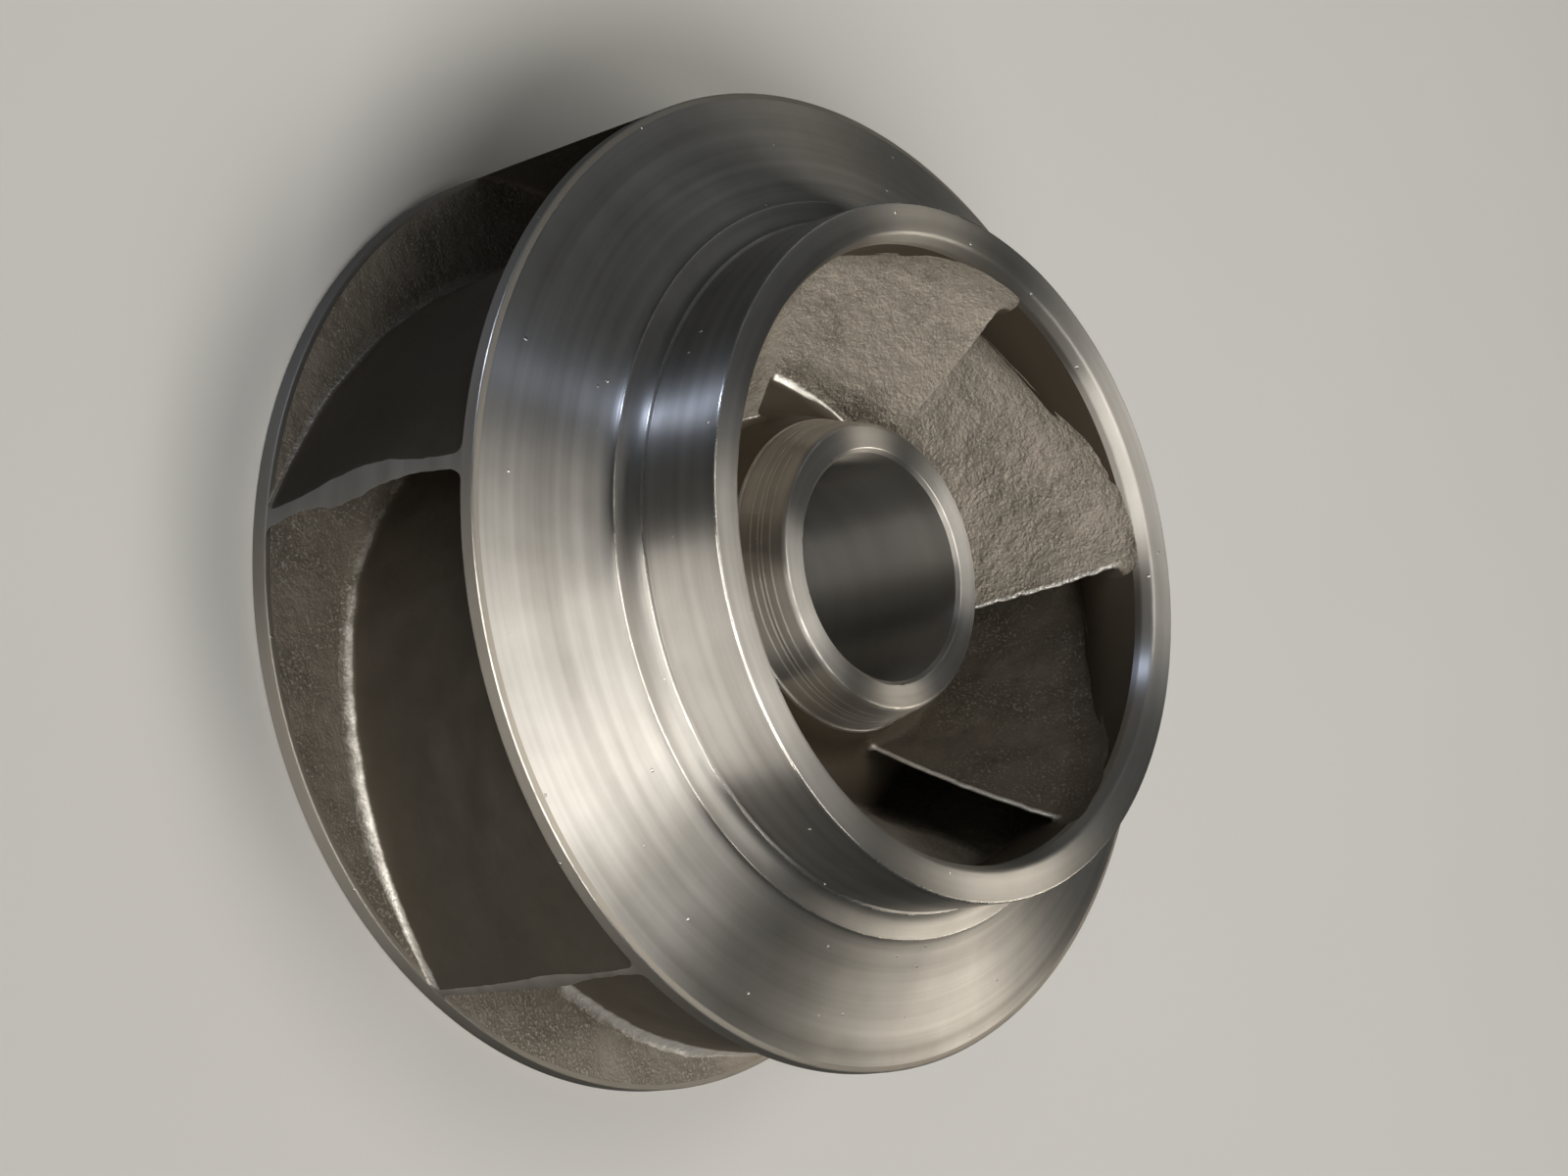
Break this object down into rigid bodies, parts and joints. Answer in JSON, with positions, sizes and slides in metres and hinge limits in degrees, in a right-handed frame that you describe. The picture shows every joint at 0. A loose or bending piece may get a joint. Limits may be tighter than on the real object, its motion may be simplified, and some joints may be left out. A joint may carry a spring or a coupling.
{
  "type": "closed pump impeller",
  "caption": "Closed centrifugal pump impeller: long swept vanes between a flat back shroud and a coned front shroud with a suction ring and a bored hub.",
  "frame": {"origin": "centre of the back face, on the shaft axis, at the plane the impeller rests on", "axes": "+Z along the shaft axis from the back face to the suction eye; X and Y square to it"},
  "size_m": [0.5, 0.5, 0.237],
  "materials": {
    "turned_steel": "turned on a lathe, fine concentric tool marks, no coating",
    "cast_steel": "as cast, blasted, dull grey brown with a sandy grain"
  },
  "bodies": {
    "root": {"hub": "turned_steel", "hub_dome": "cast_steel", "hub_cone": "cast_steel", "back_shroud": "cast_steel", "front_shroud": "turned_steel", "suction_ring": "turned_steel", "vane_1": "cast_steel", "vane_2": "cast_steel", "vane_3": "cast_steel", "vane_4": "cast_steel", "vane_5": "cast_steel", "vane_6": "cast_steel"}
  },
  "joints": []
}
